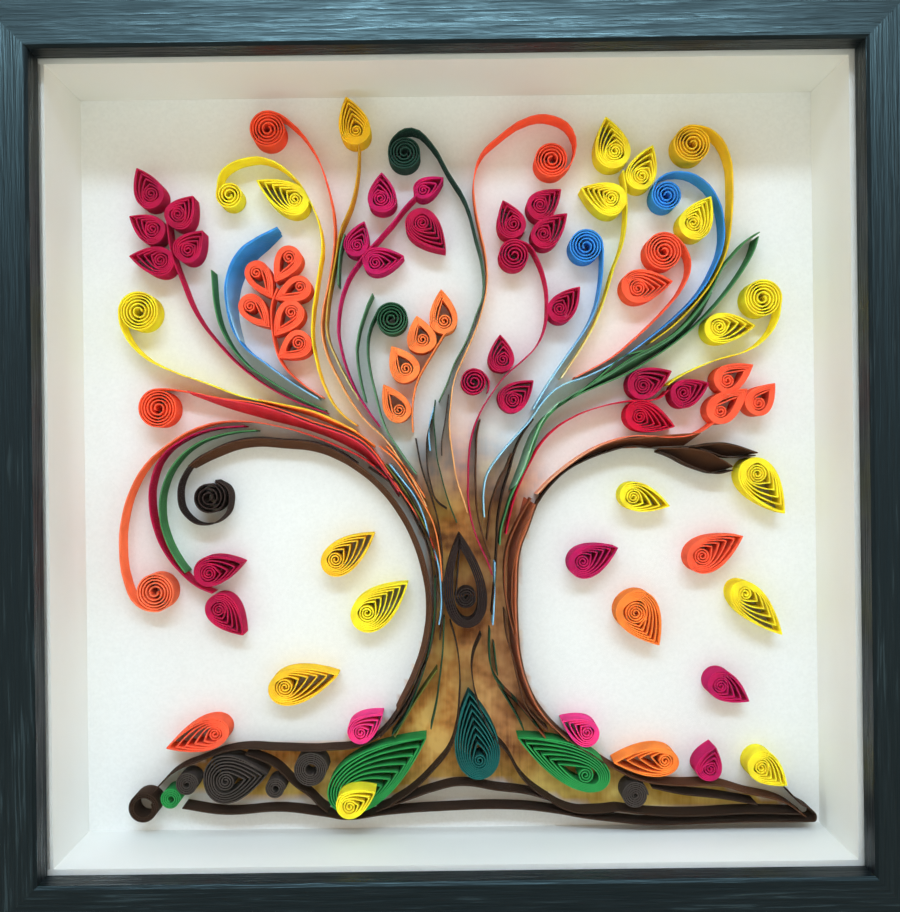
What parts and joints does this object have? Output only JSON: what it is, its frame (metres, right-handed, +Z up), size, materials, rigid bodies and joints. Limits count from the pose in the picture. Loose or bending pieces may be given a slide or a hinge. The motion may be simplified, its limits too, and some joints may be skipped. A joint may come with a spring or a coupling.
{
  "type": "quilled paper picture in a box frame",
  "caption": "Square deep box frame with a glazed front that shows a tree of coloured quilled paper strips, coils and pinched leaves standing on a white card",
  "frame": {"origin": "middle of the bottom face of the frame", "axes": "X across the picture, Y from the glazed front to the back, Z up"},
  "size_m": [0.25, 0.045, 0.25],
  "materials": {
    "black_wood": "satin grain",
    "clear_glass": "polished",
    "white_board": "matte",
    "white_card": "matte",
    "hardboard": "matte",
    "tab_steel": "plain",
    "brown_paper": "matte",
    "orange_paper": "matte",
    "crimson_paper": "matte",
    "red_paper": "matte",
    "coral_paper": "matte",
    "magenta_paper": "matte",
    "yellow_paper": "matte",
    "gold_paper": "matte",
    "blue_paper": "matte",
    "green_paper": "matte",
    "dark_green_paper": "matte"
  },
  "bodies": {
    "root": {"frame_rail_top": "black_wood", "frame_rail_bottom": "black_wood", "frame_rail_left": "black_wood", "frame_rail_right": "black_wood", "front_glazing": "clear_glass", "spacer_top": "white_board", "spacer_bottom": "white_board", "spacer_left": "white_board", "spacer_right": "white_board", "background_card": "white_card", "back_board": "hardboard", "retaining_tabs": "tab_steel", "sawtooth_hanger": "tab_steel", "trunk_strips": "brown_paper", "ground_strips": "brown_paper", "brown_curl_low": "brown_paper", "brown_branch_right": "brown_paper", "trunk_knot": "brown_paper", "ground_coils": "brown_paper", "orange_curl_low": "orange_paper", "orange_spray": "orange_paper", "orange_curl_top": "orange_paper", "orange_leaf_right": "orange_paper", "crimson_pair_low": "crimson_paper", "crimson_spray_left": "crimson_paper", "crimson_spray_right": "crimson_paper", "crimson_trio_right": "crimson_paper", "crimson_group_centre": "crimson_paper", "crimson_leaf_upper": "crimson_paper", "red_curl_left": "red_paper", "red_curl_upper": "red_paper", "red_curl_right": "red_paper", "falling_leaves_red": "red_paper", "coral_spray_left": "coral_paper", "coral_trio_right": "coral_paper", "magenta_spray": "magenta_paper", "yellow_curl_left": "yellow_paper", "yellow_curl_upper": "yellow_paper", "yellow_spray_right": "yellow_paper", "yellow_curl_right": "yellow_paper", "yellow_leaf_upper": "yellow_paper", "yellow_leaf_right": "yellow_paper", "yellow_leaf_low": "yellow_paper", "falling_leaves_yellow": "yellow_paper", "ground_leaf_upper": "yellow_paper", "gold_leaf_top": "gold_paper", "mustard_curl_right": "gold_paper", "blue_blade_left": "blue_paper", "blue_curl_right": "blue_paper", "blue_curl_centre": "blue_paper", "green_strip_low": "green_paper", "green_blade_left": "green_paper", "green_loop_right": "green_paper", "ground_leaves_left": "green_paper", "ground_leaves_right": "green_paper", "dark_green_blades": "dark_green_paper", "dark_green_curl": "dark_green_paper", "black_curl_top": "dark_green_paper"}
  },
  "joints": []
}
